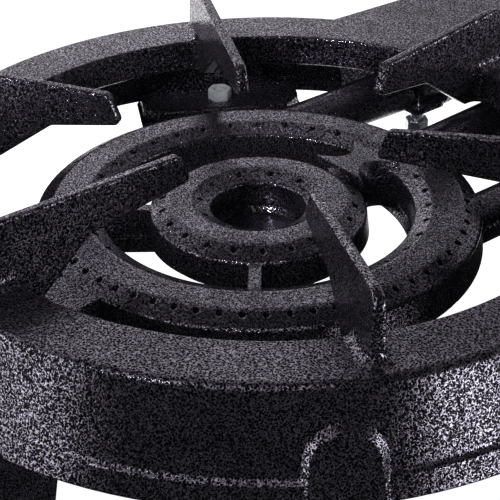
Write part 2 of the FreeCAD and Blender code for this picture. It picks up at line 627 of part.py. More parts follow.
def tap_body(x):
    """Brass tap: barrel, threaded neck through the panel, inlet boss under it."""
    barrel = along_y(TAP_R, TAP_BACK, TAP_SHOULDER, x)
    neck = along_y(NECK_R, TAP_SHOULDER, NECK_END, x)
    seat_z = TUBE_Z - RAIL_DROP + RAIL_R + 1
    inlet = rod(7.0, V(x, RAIL_Y, TUBE_Z), V(x, RAIL_Y, seat_z))
    plug_bore = along_y(PLUG_R + RUN_FIT, PLUG_BACK, PLUG_FRONT, x)
    spindle_bore = along_y(SPINDLE_R + RUN_FIT, PLUG_FRONT + 1, NECK_END - 1, x)
    outlet = along_y(GAS_BORE, TAP_BACK + 1, PLUG_BACK - 1, x)
    feed = rod(GAS_BORE, V(x, RAIL_Y, TUBE_Z), V(x, RAIL_Y, seat_z - 1))
    return fuse_all([barrel, neck, inlet]).cut(group([plug_bore])).cut(spindle_bore).cut(outlet).cut(feed)


def tap_spindle(x):
    """Plug and spindle of a tap, one turned piece with its gas passage."""
    end_gap = 0.3
    plug = along_y(PLUG_R, PLUG_BACK - end_gap, PLUG_FRONT + end_gap, x)
    stem = along_y(SPINDLE_R, PLUG_FRONT + end_gap, SPINDLE_END, x)
    passage = along_y(GAS_BORE, PLUG_BACK + 1, RAIL_Y - 3, x)
    side_port = rod(GAS_BORE, V(x, RAIL_Y, TUBE_Z), V(x - 12, RAIL_Y, TUBE_Z))
    flat = block(x - 5, x + 5, SPINDLE_END - 1, SPINDLE_END + 14, TUBE_Z + SPINDLE_FLAT, TUBE_Z + 6)
    return plug.fuse(stem).cut(passage).cut(side_port).cut(flat)


def panel_nut(x):
    """Thin hex nut that holds a tap's neck to the front of the console."""
    thick = PANEL_FACE - NECK_END
    body = hexagon(22, V(x, NECK_END, TUBE_Z), Y_DIR, thick)
    return body.cut(along_y(NECK_R + THREAD_GAP, PANEL_FACE + 1, NECK_END - 1, x))


def knob(x):
    """Round knob with a raised grip and a pointer groove, hollow at the back."""
    skirt = Part.makeCone(KNOB_R, KNOB_R - 1.5, 9, V(x, KNOB_BACK, TUBE_Z), -Y_DIR)
    drum = Part.makeCone(KNOB_R - 5, KNOB_R - 6.5, KNOB_BACK - KNOB_FRONT, V(x, KNOB_BACK, TUBE_Z), -Y_DIR)
    grip = block(x - 4, x + 4, KNOB_FRONT, KNOB_BACK - 4, TUBE_Z - KNOB_R + 2.5, TUBE_Z + KNOB_R - 2.5)
    flutes = []
    for turn in range(15, 360, 30):
        across = (KNOB_R + 0.6) * math.cos(math.radians(turn))
        up = (KNOB_R + 0.6) * math.sin(math.radians(turn))
        flutes.append(along_y(2.2, KNOB_BACK + 1, KNOB_BACK - 10, x + across, TUBE_Z + up))
    groove = block(x - 0.8, x + 0.8, KNOB_FRONT - 1, KNOB_FRONT + 1.2, TUBE_Z + 4, TUBE_Z + KNOB_R)
    hollow = along_y(KNOB_R - 7.5, KNOB_BACK + 1, KNOB_BACK - 6, x)
    socket = along_y(SPINDLE_R + RUN_FIT, KNOB_BACK + 1, SPINDLE_END, x)
    key = block(x - 5, x + 5, SPINDLE_END, SPINDLE_END + 12, TUBE_Z + SPINDLE_FLAT + RUN_FIT, TUBE_Z + 4.5)
    return fuse_all([skirt, drum, grip]).cut(group(flutes)).cut(groove).cut(hollow).cut(socket.cut(key))


def gas_rail():
    """Rail with a flat-topped boss under each tap."""
    z = TUBE_Z - RAIL_DROP
    seat_z = z + RAIL_R + 1
    tube = rod(RAIL_R, V(RAIL_RIGHT, RAIL_Y, z), V(RAIL_LEFT, RAIL_Y, z))
    bosses = [rod(7.0, V(x, RAIL_Y, z), V(x, RAIL_Y, seat_z)) for x in TUBE_XS.values()]
    bore = rod(RAIL_BORE, V(RAIL_RIGHT - 1, RAIL_Y, z), V(RAIL_LEFT + 1, RAIL_Y, z))
    feeds = [rod(GAS_BORE, V(x, RAIL_Y, z), V(x, RAIL_Y, seat_z + 1)) for x in TUBE_XS.values()]
    return fuse_all([tube] + bosses).cut(bore).cut(group(feeds))


def hose_nozzle():
    """Barbed nozzle on the rail's right end."""
    z = TUBE_Z - RAIL_DROP
    start = V(RAIL_RIGHT, RAIL_Y, z)
    collar = hexagon(17, start, -X_DIR, 10)
    stem = rod(NOZZLE_R, start, start - X_DIR * NOZZLE_LONG)
    barbs = [Part.makeCone(NOZZLE_R + 1.4, NOZZLE_R, 7, start - X_DIR * (16 + 9 * k), -X_DIR)
             for k in range(3)]
    return fuse_all([collar, stem] + barbs).cut(rod(3.0, start + X_DIR, start - X_DIR * (NOZZLE_LONG + 1)))


def rail_plug():
    """Hex plug that closes the rail's left end."""
    start = V(RAIL_LEFT, RAIL_Y, TUBE_Z - RAIL_DROP)
    shank = rod(RAIL_BORE - THREAD_GAP, start, start - X_DIR * 9)
    return hexagon(16, start, X_DIR, 6).fuse(shank).removeSplitter()


def save(name, shape):
    """Write one node, moved to stand on the floor round the origin."""
    placed = shape.copy()
    placed.translate(V(0, MIDDLE_SHIFT, RING_HEIGHT))
    placed.exportStep(f"parts/{name}.step")


def main():
    """Build every node."""
    os.makedirs("parts", exist_ok=True)
    save("support_frame", support_frame())
    save("burner", burner())
    for name, turn in LEG_TURNS.items():
        save(name, turned(leg(), turn))
    nut_top = MOUNT_TOP + M8_NUT
    lug_top = MOUNT_TOP + LUG_THICK
    side_turns = (LEG_TURNS["leg_left"], LEG_TURNS["leg_right"])
    save("leg_bolts", group([turned(leg_bolt(nut_top - BOLT_SHORT), turn) for turn in side_turns]))
    save("leg_nuts", group([turned(nut(LEG_BOLT_R, 0, MOUNT_TOP), turn) for turn in side_turns]))
    save("leg_washers", group([turned(washer(), turn) for turn in LEG_TURNS.values()]))
    save("lug_bolt", turned(leg_bolt(lug_top + M8_NUT - BOLT_SHORT), LEG_TURNS["leg_back"]))
    save("lug_nut", turned(nut(LEG_BOLT_R, 0, lug_top), LEG_TURNS["leg_back"]))
    studs = [rod(M8_R, V(p.x, p.y, STUD_END), V(p.x, p.y, EAR_TOP)) for p in stud_places()]
    save("tube_studs", group(studs))
    save("tube_nuts", group([nut(p.x, p.y, STUD_END + 1.5) for p in stud_places()]))
    save("injectors", group([injector(x) for x in TUBE_XS.values()]))
    save("panel_nuts", group([panel_nut(x) for x in TUBE_XS.values()]))
    for side, x in TUBE_XS.items():
        save(f"air_shutter_{side}", air_shutter(x))
        save(f"tap_body_{side}", tap_body(x))
        save(f"tap_spindle_{side}", tap_spindle(x))
        save(f"knob_{side}", knob(x))
    save("gas_rail", gas_rail())
    save("hose_nozzle", hose_nozzle())
    save("rail_plug", rail_plug())


main()
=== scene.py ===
"""Looks of a gas stockpot burner: hammertone castings, brass gas train, zinc fasteners and a studio."""
import logging
import math
from dataclasses import dataclass, replace
from enum import Enum
from typing import Optional

import bmesh
import bpy
from mathutils import Matrix, Vector


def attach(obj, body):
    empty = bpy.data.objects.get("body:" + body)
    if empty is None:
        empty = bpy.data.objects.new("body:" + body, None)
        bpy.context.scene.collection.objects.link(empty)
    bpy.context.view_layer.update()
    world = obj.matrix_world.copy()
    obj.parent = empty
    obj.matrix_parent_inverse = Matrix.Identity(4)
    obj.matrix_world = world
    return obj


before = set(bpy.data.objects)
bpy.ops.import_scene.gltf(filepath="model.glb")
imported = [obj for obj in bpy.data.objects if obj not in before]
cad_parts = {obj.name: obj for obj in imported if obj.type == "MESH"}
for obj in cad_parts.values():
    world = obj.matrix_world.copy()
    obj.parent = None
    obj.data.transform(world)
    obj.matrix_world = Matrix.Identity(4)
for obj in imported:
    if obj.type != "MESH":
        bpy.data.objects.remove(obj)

LOG = logging.getLogger("stockpot_burner")
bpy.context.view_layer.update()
MERGE = 1e-6

Colour = tuple[float, float, float]
Place = tuple[float, float, float]
Range = tuple[float, float]
# Start and end of a range, then the results at its start and at its end
Ramp = tuple[float, float, float, float]
Values = dict[str, object]
Node = bpy.types.Node
Socket = bpy.types.NodeSocket


class Side(str, Enum):
    """The three taps and tubes, as someone who faces the knobs names them."""

    RIGHT = "right"
    CENTRE = "centre"
    LEFT = "left"


class Slot(str, Enum):
    """Material slots of the record."""

    IRON = "hammertone_iron"
    ZINC = "zinc"
    BRASS = "brass"
    STEEL = "steel"
    KNOB = "knob_black"


class Kind(str, Enum):
    """Kinds of socket that the node groups put out."""

    FLOAT = "NodeSocketFloat"
    VECTOR = "NodeSocketVector"


class Bearing(float, Enum):
    """Sides of the studio as the camera sees them, in degrees round the ring."""

    RIGHT = 0.0
    FAR = 90.0
    CAMERA = 270.0


class Canvas:
    """A node tree with short calls to add and link nodes."""

    def __init__(self, tree: bpy.types.NodeTree) -> None:
        """Wrap a node tree.

        Args:
            tree: The tree that the calls work on.
        """
        self.tree = tree

    def add(self, kind: str, values: Optional[Values] = None, **settings: object) -> Node:
        """Add a node.

        Args:
            kind: The node's type without the ShaderNode prefix.
            values: Values or sources of its inputs, by socket name.
            settings: Other properties of the node.

        Returns:
            The new node.
        """
        node = self.tree.nodes.new("ShaderNode" + kind)
        for name, value in settings.items():
            setattr(node, name, value)
        for name, value in (values or {}).items():
            self.feed(node.inputs[name], value)
        return node

    def feed(self, socket: Socket, value: object) -> None:
        """Give an input a constant, or link it to another node's output.

        Args:
            socket: The input.
            value: A number, a colour, a vector or an output socket.
        """
        if isinstance(value, bpy.types.NodeSocket):
            self.tree.links.new(value, socket)
        elif isinstance(value, tuple) and socket.type == "RGBA" and len(value) == 3:
            socket.default_value = (*value, 1.0)
        else:
            socket.default_value = value

    def pair(self, kind: str, operation: str, first: object, second: object) -> Node:
        """Add a node that combines two values or vectors.

        Args:
            kind: Math or VectorMath.
            operation: Name of the node's operation.
            first: First value or socket.
            second: Second value or socket.

        Returns:
            The new node.
        """
        node = self.add(kind, operation=operation)
        self.feed(node.inputs[0], first)
        self.feed(node.inputs[1], second)
        return node

    def math(self, operation: str, first: object, second: object) -> Socket:
        """Combine two numbers.

        Args:
            operation: Name of the Math node's operation.
            first: First number or socket.
            second: Second number or socket.

        Returns:
            The result's socket.
        """
        return self.pair("Math", operation, first, second).outputs[0]

    def noise(self, place: Socket, scale: object, detail: float, **values: object) -> Node:
        """Add a noise texture.

        Args:
            place: Where the noise is read.
            scale: How fine it is.
            detail: How many finer layers it has.
            values: Values of its other inputs.

        Returns:
            The new node.
        """
        return self.add("TexNoise", {"Vector": place, "Scale": scale, "Detail": detail, **values})

    def ramp(self, value: Socket, low: object, high: object, to_low: float = 0.0,
             to_high: float = 1.0) -> Socket:
        """Map a range softly on another.

        Args:
            value: The value that is mapped.
            low: Where the result is to_low.
            high: Where the result is to_high.
            to_low: Result at and below low.
            to_high: Result at and above high.

        Returns:
            The result's socket.
        """
        node = self.add("MapRange", {"Value": value, "From Min": low, "From Max": high, "To Min": to_low,
                                     "To Max": to_high}, interpolation_type="SMOOTHSTEP")
        return node.outputs["Result"]

    def blend(self, share: Socket, first: object, second: object) -> Socket:
        """Mix two colours.

        Args:
            share: Share of the second colour.
            first: First colour or socket.
            second: Second colour or socket.

        Returns:
            The mixed colour's socket.
        """
        node = self.add("Mix", data_type="RGBA")
        for index, value in ((0, share), (6, first), (7, second)):
            self.feed(node.inputs[index], value)
        return node.outputs[2]


class Effect:
    """Base of the shader effects that several materials share, each one node group."""

    title = ""
    inputs: tuple[tuple[str, float], ...] = ()
    outputs: tuple[tuple[str, Kind], ...] = ()

    @classmethod
    def group(cls) -> bpy.types.NodeTree:
        """Give the effect's node group, built on the first call.

        Returns:
            The group's tree.
        """
        tree = bpy.data.node_groups.get(cls.title)
        if tree is None:
            tree = bpy.data.node_groups.new(cls.title, "ShaderNodeTree")
            for name, default in cls.inputs:
                socket = tree.interface.new_socket(name, in_out="INPUT", socket_type=Kind.FLOAT.value)
                socket.default_value = default
            for name, kind in cls.outputs:
                tree.interface.new_socket(name, in_out="OUTPUT", socket_type=kind.value)
            source = tree.nodes.new("NodeGroupInput")
            sink = tree.nodes.new("NodeGroupOutput")
            cls.wire(Canvas(tree), source, sink)
        return tree

    @classmethod
    def place(cls, canvas: Canvas, values: Values) -> bpy.types.bpy_prop_collection:
        """Put the effect in a material.

        Args:
            canvas: The material's tree.
            values: Values of the group's inputs.

        Returns:
            The group node's outputs.
        """
        node = canvas.tree.nodes.new("ShaderNodeGroup")
        node.node_tree = cls.group()
        for name, value in values.items():
            canvas.feed(node.inputs[name], value)
        return node.outputs

    @classmethod
    def wire(cls, canvas: Canvas, source: Node, sink: Node) -> None:
        """Build the nodes between the group's input and output.

        Args:
            canvas: The group's tree.
            source: The group's input node.
            sink: The group's output node.
        """
        raise NotImplementedError


class HammerVeins(Effect):
    """Hammertone paint: a net of pale metallic veins round small dark pools, with more veins on up-facing
    surfaces as painted light and fewer on walls as painted shade.
    """

    title = "hammer_veins"
    # Painted light and shade: up-facing surfaces get the larger top share of pale veins and come out lighter,
    # walls get the smaller wall share and come out darker.
    inputs = (("Cells", 620.0), ("Painted Shade Wall Share", 0.12), ("Painted Light Top Share", 0.2))
    outputs = (("Vein", Kind.FLOAT), ("Height", Kind.FLOAT), ("Cloud", Kind.FLOAT), ("Spark", Kind.FLOAT))
    bend = 0.55
    speckle = 0.75
    softness = 0.05
    middle = 0.5
    # Heights of the normal between which the painted shade of walls turns into the painted light of tops.
    shade_wall_to_light_top: Range = (0.35, 0.9)
    cloud_scale = 38.0
    cloud_range: Range = (0.35, 0.68)
    flake_share = 1.5
    flake_range: Range = (0.36, 0.66)

    @classmethod
    def wire(cls, canvas: Canvas, source: Node, sink: Node) -> None:
        """See Effect.wire."""
        place = canvas.add("TexCoord").outputs["Object"]
        cells = source.outputs["Cells"]
        drift = canvas.noise(place, cells, 1.0).outputs["Color"]
        reach = canvas.math("DIVIDE", cls.bend, cells)
        pull = canvas.add("VectorMath", {"Vector": drift, "Scale": reach}, operation="SCALE").outputs[0]
        warped = canvas.pair("VectorMath", "ADD", place, pull).outputs[0]
        pools = canvas.add("TexVoronoi", {"Vector": warped, "Scale": cells},
                           feature="DISTANCE_TO_EDGE").outputs["Distance"]
        speck = canvas.noise(place, cells, 1.5, Roughness=0.6, Distortion=0.3).outputs[0]
        uneven = canvas.math("MULTIPLY", canvas.math("SUBTRACT", speck, cls.middle), cls.speckle)
        depth = canvas.math("ADD", pools, uneven)
        normal = canvas.add("NewGeometry").outputs["Normal"]
        facing = canvas.add("SeparateXYZ", {"Vector": normal}).outputs["Z"]
        # Painted light and shade: the share of pale veins goes from the wall share to the top share as the
        # surface turns upwards, so tops are painted lighter and walls darker.
        wall, top = cls.shade_wall_to_light_top
        share = canvas.add("MapRange", {"Value": facing, "From Min": wall, "From Max": top,
                                        "To Min": source.outputs["Painted Shade Wall Share"],
                                        "To Max": source.outputs["Painted Light Top Share"]}).outputs["Result"]
        vein = canvas.ramp(depth, canvas.math("ADD", share, cls.softness),
                           canvas.math("SUBTRACT", share, cls.softness))
        cloud = canvas.noise(place, cls.cloud_scale, 2.0).outputs[0]
        flake = canvas.noise(place, canvas.math("MULTIPLY", cells, cls.flake_share), 1.0).outputs[0]
        canvas.feed(sink.inputs["Vein"], vein)
        canvas.feed(sink.inputs["Height"], canvas.math("SUBTRACT", cls.middle, depth))
        canvas.feed(sink.inputs["Cloud"], canvas.ramp(cloud, *cls.cloud_range))
        canvas.feed(sink.inputs["Spark"], canvas.ramp(flake, *cls.flake_range))


class SoftEdges(Effect):
    """Rounded-over normals along sharp edges, and a mask of those edges."""

    title = "soft_edges"
    inputs = (("Radius", 0.0015),)
    outputs = (("Normal", Kind.VECTOR), ("Edge", Kind.FLOAT))
    samples = 6
    edge_range: Range = (0.995, 0.86)

    @classmethod
    def wire(cls, canvas: Canvas, source: Node, sink: Node) -> None:
        """See Effect.wire."""
        bevel = canvas.add("Bevel", {"Radius": source.outputs["Radius"]}, samples=cls.samples)
        rounded = bevel.outputs["Normal"]
        plain = canvas.add("NewGeometry").outputs["Normal"]
        along = canvas.pair("VectorMath", "DOT_PRODUCT", rounded, plain).outputs["Value"]
        canvas.feed(sink.inputs["Normal"], rounded)
        canvas.feed(sink.inputs["Edge"], canvas.ramp(along, *cls.edge_range))


class FineGrain(Effect):
    """Fine speckle and slow clouds for metal and moulded surfaces."""

    title = "fine_grain"
    inputs = (("Size", 1500.0), ("Stretch", 1.0))
    outputs = (("Grain", Kind.FLOAT), ("Cloud", Kind.FLOAT))
    cloud_scale = 90.0
    cloud_range: Range = (0.3, 0.7)

    @classmethod
    def wire(cls, canvas: Canvas, source: Node, sink: Node) -> None:
        """See Effect.wire."""
        place = canvas.add("TexCoord").outputs["Object"]
        pull = canvas.add("CombineXYZ", {"X": 1.0, "Y": source.outputs["Stretch"], "Z": 1.0}).outputs[0]
        drawn = canvas.pair("VectorMath", "MULTIPLY", place, pull).outputs[0]
        cloud = canvas.noise(place, cls.cloud_scale, 3.0).outputs[0]
        canvas.feed(sink.inputs["Grain"], canvas.noise(drawn, source.outputs["Size"], 2.0).outputs[0])
        canvas.feed(sink.inputs["Cloud"], canvas.ramp(cloud, *cls.cloud_range))


@dataclass(frozen=True)
class Finish:
    """What every finish has: a name, a slot of the record and the rounding of its edges."""

    title: str
    slot: Slot
    edge: float

    def material(self) -> bpy.types.Material:
        """Give the finish's material, built on the first call.

        Returns:
            The material.
        """
        made = bpy.data.materials.get(self.title)
        if made is None:
            made = bpy.data.materials.new(self.title)
            made.use_nodes = True
            made.node_tree.nodes.clear()
            canvas = Canvas(made.node_tree)
            shader = canvas.add("BsdfPrincipled")
            canvas.add("OutputMaterial", {"Surface": shader.outputs["BSDF"]})
            self.dress(canvas, shader)
        return made

    def dress(self, canvas: Canvas, shader: Node) -> None:
        """Wire the shader's inputs.

        Args:
            canvas: The material's tree.
            shader: Its Principled BSDF.
        """
        raise NotImplementedError

    def emboss(self, canvas: Canvas, shader: Node, height: Socket, strength: float, relief: float) -> Socket:
        """Round the edges over and raise a pattern on the surface.

        Args:
            canvas: The material's tree.
            shader: Its Principled BSDF.
            height: The pattern.
            strength: How much of it shows.
            relief: How far it stands out, in metres.

        Returns:
            The socket of the edges' mask.
        """
        edges = SoftEdges.place(canvas, {"Radius": self.edge})
        bump = canvas.add("Bump", {"Strength": strength, "Distance": relief, "Height": height,
                                   "Normal": edges["Normal"]})
        canvas.feed(shader.inputs["Normal"], bump.outputs["Normal"])
        return edges["Edge"]

    def on(self, node: str) -> None:
        """Put the finish on a CAD node.

        Args:
            node: The node's name.
        """
        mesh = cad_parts[node].data
        mesh.materials.clear()
        mesh.materials.append(self.material())
        LOG.info("%s has %s", node, self.title)

    def paint(self, piece: bpy.types.Object) -> None:
        """Put the finish on a new piece.

        Args:
            piece: The piece.
        """
        piece.data.materials.append(self.material())


@dataclass(frozen=True)
class HammertonePaint(Finish):
    """Black hammertone paint on cast iron."""

    cells: float
    painted_light_shares: Range
    # Shares of pale veins on walls and on tops: painted shade on walls, painted light on tops.
    dark: Colour
    pale: Colour
    relief: float
    flakes: Range = (0.55, 1.5)
    clouding: float = 0.28
    gloss: Range = (0.17, 0.215)
    metal: float = 0.96
    specular: float = 0.03

    def dress(self, canvas: Canvas, shader: Node) -> None:
        """See Finish.dress."""
        # Walls get fewer pale veins and tops more, as painted shade and painted light.
        wall, top = self.painted_light_shares
        veins = HammerVeins.place(canvas, {"Cells": self.cells, "Painted Shade Wall Share": wall, "Painted Light Top Share": top})
        dim, bright = (tuple(share * part for part in self.pale) for share in self.flakes)
        flat = canvas.blend(veins["Spark"], dim, bright)
        dull = canvas.blend(canvas.math("MULTIPLY", veins["Cloud"], self.clouding), flat, self.dark)
        colour = canvas.blend(veins["Vein"], self.dark, dull)
        canvas.feed(shader.inputs["Base Color"], colour)
        canvas.feed(shader.inputs["Roughness"], canvas.ramp(veins["Vein"], 0.0, 1.0, *self.gloss))
        canvas.feed(shader.inputs["Metallic"], canvas.math("MULTIPLY", veins["Vein"], self.metal))
        shader.inputs["Specular IOR Level"].default_value = self.specular
        self.emboss(canvas, shader, veins["Height"], 1.0, self.relief)


@dataclass(frozen=True)
class PlainMetal(Finish):
    """Bare or plated metal with a fine grain."""

    colour: Colour
    tarnish: Colour
    grain: float
    stretch: float
    gloss: Range
    bare: float = 1.0
    grain_range: Range = (0.3, 0.7)
    strength: float = 0.5
    relief: float = 0.00003

    def dress(self, canvas: Canvas, shader: Node) -> None:
        """See Finish.dress."""
        grain = FineGrain.place(canvas, {"Size": self.grain, "Stretch": self.stretch})
        canvas.feed(shader.inputs["Base Color"], canvas.blend(grain["Cloud"], self.colour, self.tarnish))
        gloss = canvas.ramp(grain["Grain"], *self.grain_range, *self.gloss)
        canvas.feed(shader.inputs["Roughness"], gloss)
        shader.inputs["Metallic"].default_value = self.bare
        self.emboss(canvas, shader, grain["Grain"], self.strength, self.relief)


@dataclass(frozen=True)
class MouldedPlastic(Finish):
    """Heat-proof moulded plastic with a fine spark-eroded texture."""

    colour: Colour
    edge_tone: Colour
    grain: float = 2600.0
    gloss: Range = (0.42, 0.52)
    strength: float = 0.6
    relief: float = 0.00004

    def dress(self, canvas: Canvas, shader: Node) -> None:
        """See Finish.dress."""
        grain = FineGrain.place(canvas, {"Size": self.grain, "Stretch": 1.0})
        edge = self.emboss(canvas, shader, grain["Grain"], self.strength, self.relief)
        # The colour turns lighter along the sharp edges, where the edge mask is high.
        canvas.feed(shader.inputs["Base Color"], canvas.blend(edge, self.colour, self.edge_tone))
        canvas.feed(shader.inputs["Roughness"], canvas.ramp(grain["Cloud"], 0.0, 1.0, *self.gloss))


# The shares give up-facing iron more pale veins than its walls, as painted light and shade.
PAINT = HammertonePaint(
    title="hammertone_paint", slot=Slot.IRON, edge=0.0012, cells=700.0, painted_light_shares=(0.055, 0.105),
    dark=(0.003, 0.0028, 0.004), pale=(0.28, 0.257, 0.324), relief=0.00008)
THIN_PAINT = replace(PAINT, title="thin_hammertone_paint", cells=800.0, relief=0.00007)
ZINC = PlainMetal(
    title="zinc_plate", slot=Slot.ZINC, edge=0.0011, colour=(0.92, 0.93, 0.98), tarnish=(0.7, 0.71, 0.78),
    grain=2200.0, stretch=1.0, gloss=(0.2, 0.32), bare=0.35)
# A darker copy of the zinc: painted shade for the tube studs, nuts and threads that sit in shade under the
# arm.
SHADED_ZINC = replace(
    ZINC, title="painted_shade_zinc_plate", colour=(0.42, 0.44, 0.5), tarnish=(0.26, 0.27, 0.32), bare=0.88)
BRASS = PlainMetal(
    title="turned_brass", slot=Slot.BRASS, edge=0.0004, colour=(0.72, 0.53, 0.24), tarnish=(0.5, 0.35, 0.15),
    grain=1800.0, stretch=0.2, gloss=(0.26, 0.42))
STEEL = PlainMetal(
    title="drawn_steel", slot=Slot.STEEL, edge=0.0005, colour=(0.52, 0.52, 0.53), tarnish=(0.36, 0.36, 0.38),
    grain=1500.0, stretch=0.3, gloss=(0.3, 0.45))
PLASTIC = MouldedPlastic(
    title="knob_plastic", slot=Slot.KNOB, edge=0.0008, colour=(0.012, 0.012, 0.013), edge_tone=(0.03, 0.03, 0.032))


@dataclass
class Shell:
    """The box round one of a CAD node's separate shells."""

    low: Vector
    high: Vector

    def centre(self, height: float) -> Vector:
        """Give a point on the box's upright middle line."""
        return Vector(((self.low.x + self.high.x) / 2, (self.low.y + self.high.y) / 2, height))


def shells(node: str) -> list[Shell]:
    """Find the separate shells of a CAD node.

    Args:
        node: The node's name.

    Returns:
        The shells' boxes, from low to high X.
    """
    shape = bmesh.new()
    shape.from_mesh(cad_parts[node].data)
    bmesh.ops.remove_doubles(shape, verts=shape.verts[:], dist=MERGE)
    unseen = set(shape.verts)
    boxes = []
    while unseen:
        front = [unseen.pop()]
        points = []
        while front:
            vert = front.pop()
            points.append(vert.co.copy())
            fresh = [edge.other_vert(vert) for edge in vert.link_edges]
            fresh = [other for other in fresh if other in unseen]
            unseen.difference_update(fresh)
            front.extend(fresh)
        boxes.append(Shell(Vector(map(min, zip(*points))), Vector(map(max, zip(*points)))))
    shape.free()
    return sorted(boxes, key=lambda box: box.low.x)


class Lathe:
    """Turned shapes on upright axes, gathered in one piece."""

    segments = 32
    crease = 28.0

    def __init__(self) -> None:
        """Start with nothing on the lathe."""
        self.shape = bmesh.new()

    def sweep(self, profile: list[tuple[float, float]], foot: Vector, turns: float = 1.0,
              pitch: float = 0.0) -> None:
        """Turn a profile round an upright axis.

        Args:
            profile: Radius and height above the foot of each point.
            foot: Where the axis starts.
            turns: How often the profile goes round.
            pitch: How far it climbs in one turn, for a thread.
        """
        steps = round(self.segments * turns)
        verts = [self.shape.verts.new(foot + Vector((radius, 0.0, height))) for radius, height in profile]
        edges = [self.shape.edges.new(pair) for pair in zip(verts, verts[1:])]
        bmesh.ops.spin(self.shape, geom=verts + edges, cent=foot, axis=(0.0, 0.0, 1.0),
                       angle=2 * math.pi * turns, dvec=(0.0, 0.0, pitch * turns / steps), steps=steps,
                       use_merge=not pitch)

    def finish(self, title: str, body: str, finish: Finish) -> None:
        """Make the piece.

        Args:
            title: The piece's name.
            body: The CAD body that it rides on.
            finish: What it is made of.
        """
        bmesh.ops.remove_doubles(self.shape, verts=self.shape.verts[:], dist=MERGE)
        bmesh.ops.recalc_face_normals(self.shape, faces=self.shape.faces[:])
        for face in self.shape.faces:
            face.smooth = True
        mesh = bpy.data.meshes.new(title)
        self.shape.to_mesh(mesh)
        self.shape.free()
        mesh.set_sharp_from_angle(angle=math.radians(self.crease))
        piece = bpy.data.objects.new(title, mesh)
        bpy.context.scene.collection.objects.link(piece)
        finish.paint(piece)
        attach(piece, body)
        LOG.info("%s made, with %s", title, finish.title)


@dataclass
class Castings:
    """The painted iron: frame, burner and legs."""

    thick: tuple[str, ...] = ("support_frame", "leg_back", "leg_right", "leg_left")
    thin: str = "burner"

    def dress(self) -> None:
        """Paint the castings."""
        for node in self.thick:
            PAINT.on(node)
        THIN_PAINT.on(self.thin)


@dataclass
class Fasteners:
    """Zinc-plated bolts, nuts, washers and studs, with their threads."""

    bright: tuple[str, ...] = ("leg_bolts", "leg_nuts", "leg_washers", "lug_bolt", "lug_nut")
    # These get the darker zinc as painted shade.
    dull: tuple[str, ...] = ("tube_studs", "tube_nuts")
    radius: float = 0.004
    pitch: float = 0.00125
    ridge: float = 0.00026
    flank: float = 0.45
    ear_gap: float = 0.0048
    stud_end: float = 0.0014
    tip_sink: float = 0.0002
    tip_neck: float = 0.0006
    tip_shoulder: tuple[float, float] = (0.0026, 0.0017)
    tip_flat: float = 0.0018
    tip_top: float = 0.002

    def tips(self, bolts: str) -> None:
        """Close each bolt's end with the chamfered tip that shows inside its nut.

        Args:
            bolts: The bolts' CAD node.
        """
        core = self.radius - self.ridge
        profile = [(core, 0.0), (core, self.tip_neck), self.tip_shoulder, (self.tip_flat, self.tip_top),
                   (0.0, self.tip_top)]
        lathe = Lathe()
        for bolt in shells(bolts):
            lathe.sweep(profile, bolt.centre(bolt.high.z - self.tip_sink))
        lathe.finish(f"{bolts}_tips", "frame", ZINC)

    def thread(self, lathe: Lathe, foot: Vector, length: float) -> None:
        """Cut a thread.

        Args:
            lathe: The piece that gets it.
            foot: Where the thread starts on its axis.
            length: How far it climbs.
        """
        half = self.pitch * self.flank
        core = self.radius - self.ridge
        profile = [(core, -half), (self.radius + self.ridge / 2, 0.0), (core, half)]
        turns = (length - 2 * half) / self.pitch
        lathe.sweep(profile, foot + Vector((0.0, 0.0, half)), turns, self.pitch)

    def build(self) -> None:
        """Make the bolts' tips and the studs' threads, above the nuts and at the lower ends."""
        for bolts in ("lug_bolt", "leg_bolts"):
            self.tips(bolts)
        lathe = Lathe()
        for stud, nut in zip(shells("tube_studs"), shells("tube_nuts")):
            self.thread(lathe, stud.centre(nut.high.z), self.ear_gap)
            self.thread(lathe, stud.centre(stud.low.z), self.stud_end)
        # The stud threads get the darker zinc too, as painted shade.
        lathe.finish("tube_stud_threads", "frame", SHADED_ZINC)

    def dress(self) -> None:
        """Plate the fasteners, the tube studs and nuts with a darker copy of the zinc as painted shade."""
        for finish, nodes in ((ZINC, self.bright), (SHADED_ZINC, self.dull)):
            for node in nodes:
                finish.on(node)


@dataclass
class GasTrain:
    """Taps, jets, rail, nozzle, shutters and knobs."""

    brass: tuple[str, ...] = ("injectors", "panel_nuts", "hose_nozzle", "rail_plug")
    rail: str = "gas_rail"

    def dress(self) -> None:
        """Give each piece its metal or plastic."""
        for node in self.brass:
            BRASS.on(node)
        STEEL.on(self.rail)
        for side in Side:
            BRASS.on(f"tap_body_{side.value}")
            BRASS.on(f"tap_spindle_{side.value}")
            STEEL.on(f"air_shutter_{side.value}")
            PLASTIC.on(f"knob_{side.value}")


@dataclass(frozen=True)
class Softbox:
    """An area light, placed as Studio.bearing says, that faces the ring's middle or a target."""

    title: str
    azimuth: float
    distance: float
    height: float
    size: tuple[float, float]
    power: float
    target: Optional[Place] = None
    spread: float = 180.0


